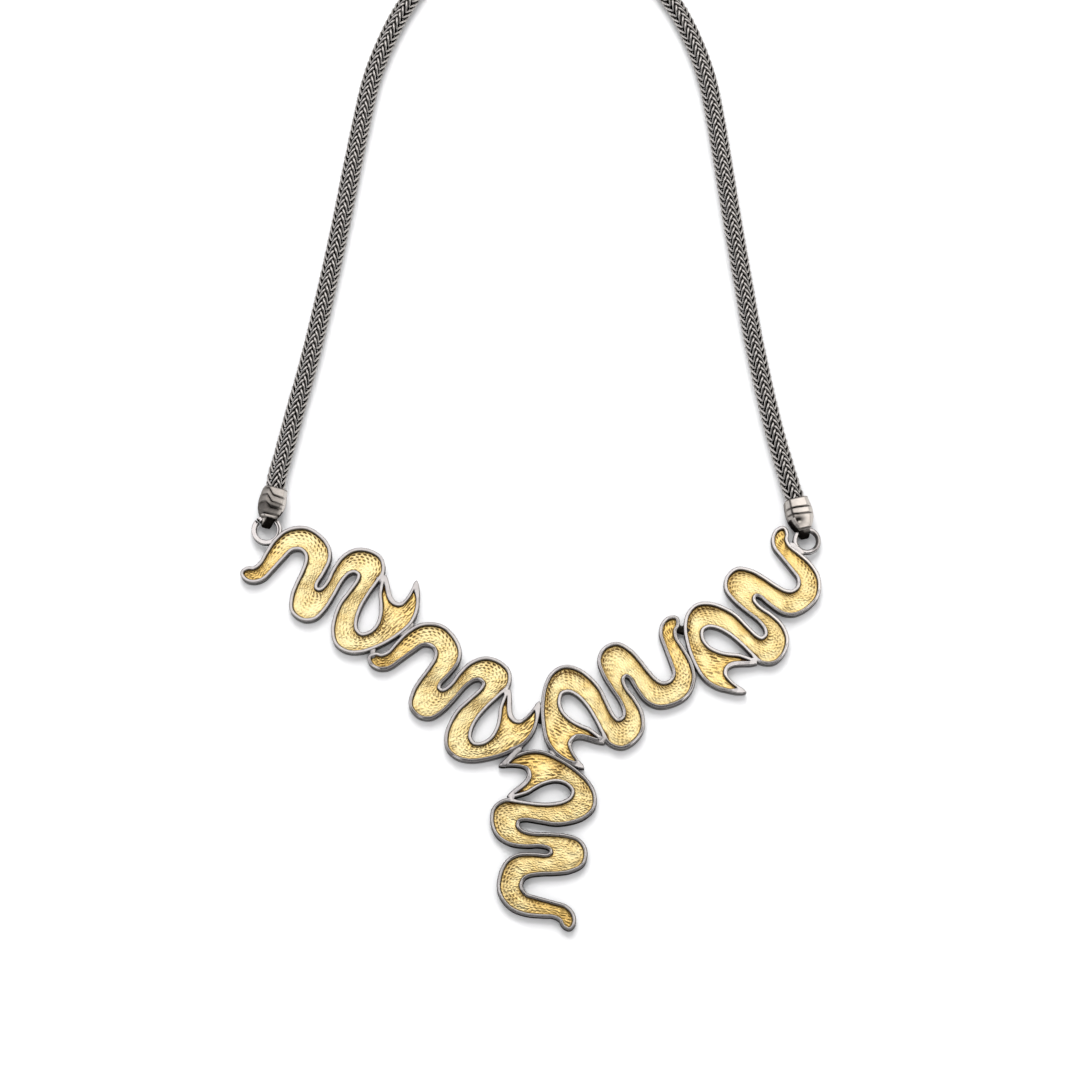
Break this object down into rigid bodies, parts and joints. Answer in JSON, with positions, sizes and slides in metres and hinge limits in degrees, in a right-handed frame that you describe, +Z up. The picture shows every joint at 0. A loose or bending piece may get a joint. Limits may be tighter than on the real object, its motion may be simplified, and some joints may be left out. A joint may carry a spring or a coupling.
{
  "type": "necklace",
  "caption": "Statement necklace: five linked coiled snakes in silver with gilded backs, on a square woven silver chain with cone caps and an oval clasp.",
  "frame": {"origin": "on the ground under the middle of the outline, as the necklace lies flat on its back", "axes": "+Z up out of the front of the snakes, +Y from the lowest snake to the back of the neck, +X to the right as seen from the front"},
  "size_m": [0.1272, 0.2311, 0.0055],
  "materials": {
    "silver": "hand-finished sterling silver, softly polished, dark in the recesses",
    "gilding": "gilded embossed scales, satin, with dark oxide in the cuts",
    "woven_chain": "round silver wire, polished on top and oxidised black between the loops"
  },
  "bodies": {
    "root": {"snake_frame": "silver", "skin_outer_left": "gilding", "skin_inner_left": "gilding", "skin_centre": "gilding", "skin_inner_right": "gilding", "skin_outer_right": "gilding", "end_cap_left": "silver", "end_cap_right": "silver", "chain_left": "woven_chain", "chain_right": "woven_chain", "back_cap_left": "silver", "back_cap_right": "silver", "clasp": "silver"}
  },
  "joints": []
}
